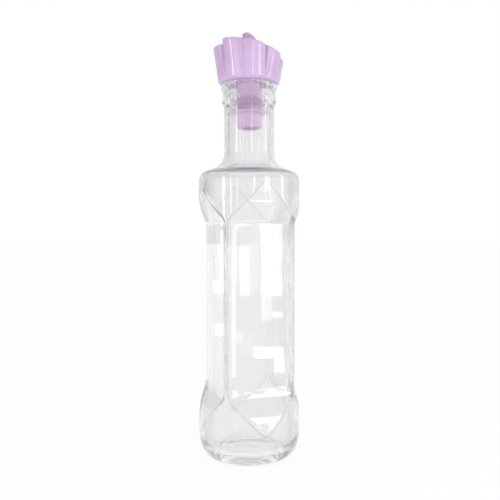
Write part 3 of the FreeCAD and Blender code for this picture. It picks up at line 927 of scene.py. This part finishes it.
# name, degrees from the camera's side, distance and height of the lamp's middle, its width and
# its own height, all in metres, and its radiance
LAMPS = (
    ("window_tall", 39.4, 0.521, 0.146, 0.029, 0.208, 4.5),
    ("window_foot", 38.7, 0.519, 0.025, 0.014, 0.034, 2.4),
    ("window_slim", 35.4, 0.517, 0.076, 0.015, 0.069, 3.0),
    ("window_edge", 33.6, 0.515, 0.098, 0.0117, 0.072, 2.6),
    ("table_edge", 29.3, 0.186, 0.049, 0.0049, 0.079, 2.6),
    ("table_wide", 38.4, 0.191, 0.0284, 0.0247, 0.0095, 4.5),
    ("table_narrow", 41.0, 0.193, 0.0176, 0.0091, 0.011, 4.5),
    ("table_spark", 40.6, 0.193, 0.0604, 0.0078, 0.0045, 4.5),
    ("rear_strip", -140.1, 0.291, 0.104, 0.0035, 0.053, 1.6),
    ("rear_patch", -140.9, 0.298, 0.0716, 0.0103, 0.013, 1.6),
    ("rear_low", -140.9, 0.298, 0.0264, 0.0093, 0.0124, 1.6),
    ("window_high", 39.4, 0.521, 0.195, 0.055, 0.11, 11.0),
    ("left_wide", -58.0, 0.8, 0.2, 0.06, 0.4, 9.0),
    ("left_slim", -40.0, 0.8, 0.2, 0.045, 0.3, 4.5),
    ("left_near", -26.0, 0.8, 0.2, 0.03, 0.3, 4.0),
    ("right_wide", 78.0, 0.8, 0.25, 0.06, 0.5, 7.0),
    ("front_strip", 12.0, 0.8, 0.235, 0.06, 0.37, 5.0),
)


def shiny_rays(nodes, path):
    """1 on reflected and refracted rays, 0 on the rest."""
    return nodes.math("MAXIMUM", path["Is Glossy Ray"], path["Is Transmission Ray"])


def background(nodes, strength):
    """White background of a strength that is a socket or a number."""
    return nodes.add("ShaderNodeBackground", Color=WHITE, Strength=strength).outputs[0]


def studio_world(turn):
    """White where the camera looks, and soft light on everything else, a little stronger from the
    camera's side: SOFT_LEVEL minus SOFT_FALL times the cosine of the angle from the line of sight.

    Reflections see a room that is white behind the bottle and darkens towards the camera and to
    the left: 1 - DARK_TO_CAMERA (1 - the same cosine) - DARK_TO_LEFT times how far left it is.
    Refractions see it REFRACTED_SHARE less dark.
    """
    world = bpy.data.worlds.new("studio")
    bpy.context.scene.world = world
    nodes = Nodes(world)
    path = nodes.add("ShaderNodeLightPath").outputs
    direction = nodes.add("ShaderNodeTexCoord").outputs["Generated"]
    sight = nodes.dot(direction, (-math.sin(turn), math.cos(turn), 0.0))
    left = nodes.dot(direction, (-math.cos(turn), -math.sin(turn), 0.0))
    dark = nodes.math(
        "ADD",
        nodes.math("MULTIPLY", nodes.math("SUBTRACT", 1.0, sight), DARK_TO_CAMERA),
        nodes.math("MULTIPLY", nodes.math("MAXIMUM", left, 0.0), DARK_TO_LEFT),
    )
    spared = nodes.math("MULTIPLY", path["Is Transmission Ray"], REFRACTED_SHARE)
    dark = nodes.math("MULTIPLY", dark, nodes.math("SUBTRACT", 1.0, spared))
    room = nodes.math("SUBTRACT", 1.0, dark)
    soft = nodes.math("SUBTRACT", SOFT_LEVEL, nodes.math("MULTIPLY", sight, SOFT_FALL))
    unseen = nodes.mix_shaders(
        shiny_rays(nodes, path), background(nodes, soft), background(nodes, room))
    seen = nodes.mix_shaders(path["Is Camera Ray"], unseen, background(nodes, 1.0))
    nodes.add("ShaderNodeOutputWorld", Surface=seen)


def pale_floor():
    """Large pale floor that reads as white but keeps the object's soft shadow."""
    material = bpy.data.materials.new("pale_floor")
    nodes = Nodes(material)
    path = nodes.add("ShaderNodeLightPath").outputs
    seen = nodes.math("MAXIMUM", path["Is Camera Ray"], shiny_rays(nodes, path))
    diffuse = nodes.add("ShaderNodeBsdfDiffuse", Color=FLOOR_TONE)
    glow = nodes.add("ShaderNodeEmission", Strength=1.0)
    mix = nodes.mix_shaders(
        nodes.math("MULTIPLY", seen, FLOOR_GLOW), diffuse.outputs[0], glow.outputs[0])
    nodes.add("ShaderNodeOutputMaterial", Surface=mix)
    corners = [
        (-FLOOR_HALF, -FLOOR_HALF, 0), (FLOOR_HALF, -FLOOR_HALF, 0),
        (FLOOR_HALF, FLOOR_HALF, 0), (-FLOOR_HALF, FLOOR_HALF, 0),
    ]
    mesh = bpy.data.meshes.new("floor")
    mesh.from_pydata(corners, [], [(0, 1, 2, 3)])
    mesh.materials.append(material)
    floor = bpy.data.objects.new("floor", mesh)
    bpy.context.collection.objects.link(floor)


def soft_box(name, turn, distance, height, wide, high, radiance):
    """Upright rectangular lamp at a turn, distance and height round the bottle, facing its axis.

    Its power is pi times its area times its radiance.
    """
    lamp = bpy.data.lights.new(name, "AREA")
    lamp.shape = "RECTANGLE"
    lamp.size = wide
    lamp.size_y = high
    lamp.energy = math.pi * wide * high * radiance
    box = bpy.data.objects.new(name, lamp)
    box.location = (distance * math.sin(turn), -distance * math.cos(turn), height)
    box.rotation_euler = (math.pi / 2, 0.0, turn)
    box.visible_camera = False
    bpy.context.collection.objects.link(box)


class CRUET_OT_stage(bpy.types.Operator):
    """Pale floor, soft light and the camera a little above the bottle's middle"""
    bl_idname = "cruet.stage"
    bl_label = "Stage"

    def execute(self, context):
        """The camera stands at its turn round the axis, moved aside to the right of it."""
        stage = context.scene.cruet_stage
        context.scene.view_settings.view_transform = "Standard"
        studio_world(stage.turn)
        pale_floor()
        for name, turn, distance, height, wide, high, radiance in LAMPS:
            soft_box(name, stage.turn + math.radians(turn), distance, height, wide, high, radiance)
        camera = bpy.data.cameras.new("camera")
        camera.lens = stage.lens
        camera.sensor_width = 36.0
        camera.clip_start = 0.01
        view = bpy.data.objects.new("camera", camera)
        across, away = math.cos(stage.turn), math.sin(stage.turn)
        view.location = (
            stage.distance * away + CAMERA_ASIDE * across,
            -stage.distance * across + CAMERA_ASIDE * away,
            stage.eye,
        )
        view.rotation_euler = (math.pi / 2 - stage.pitch, 0.0, stage.turn)
        bpy.context.collection.objects.link(view)
        context.scene.camera = view
        return {"FINISHED"}


class CRUET_PT_sidebar(bpy.types.Panel):
    """Sizes, finishes and the steps that build the cruet"""
    bl_idname = "CRUET_PT_sidebar"
    bl_label = "Oil Cruet"
    bl_space_type = "VIEW_3D"
    bl_region_type = "UI"
    bl_category = "Cruet"

    def draw(self, context):
        """One box for each group, then a button for each step."""
        for group in GROUPS:
            box = self.layout.box()
            owner = getattr(context.scene, group)
            for name in owner.bl_rna.properties.keys():
                if name not in ("rna_type", "name"):
                    box.prop(owner, name)
        for step in STEPS:
            self.layout.operator(step.bl_idname)


GROUPS = {
    "cruet_bottle": CruetBottle,
    "cruet_plug": CruetPlug,
    "cruet_collar": CruetCollar,
    "cruet_finish": CruetFinish,
    "cruet_stage": CruetStage,
}
STEPS = (CRUET_OT_glass_bottle, CRUET_OT_pour_plug, CRUET_OT_flower_collar, CRUET_OT_stage)
CLASSES = (*GROUPS.values(), *STEPS, CRUET_PT_sidebar)


def register():
    """Register the classes and hang the groups on the scene."""
    for item in CLASSES:
        bpy.utils.register_class(item)
    for name, group in GROUPS.items():
        setattr(bpy.types.Scene, name, PointerProperty(type=group))


def unregister():
    """Undo register."""
    for name in GROUPS:
        delattr(bpy.types.Scene, name)
    for item in reversed(CLASSES):
        bpy.utils.unregister_class(item)


def main():
    """Register the classes, and build every piece and the stage."""
    register()
    bpy.ops.cruet.glass_bottle()
    bpy.ops.cruet.pour_plug()
    bpy.ops.cruet.flower_collar()
    bpy.ops.cruet.stage()


if __name__ == "__main__":
    main()
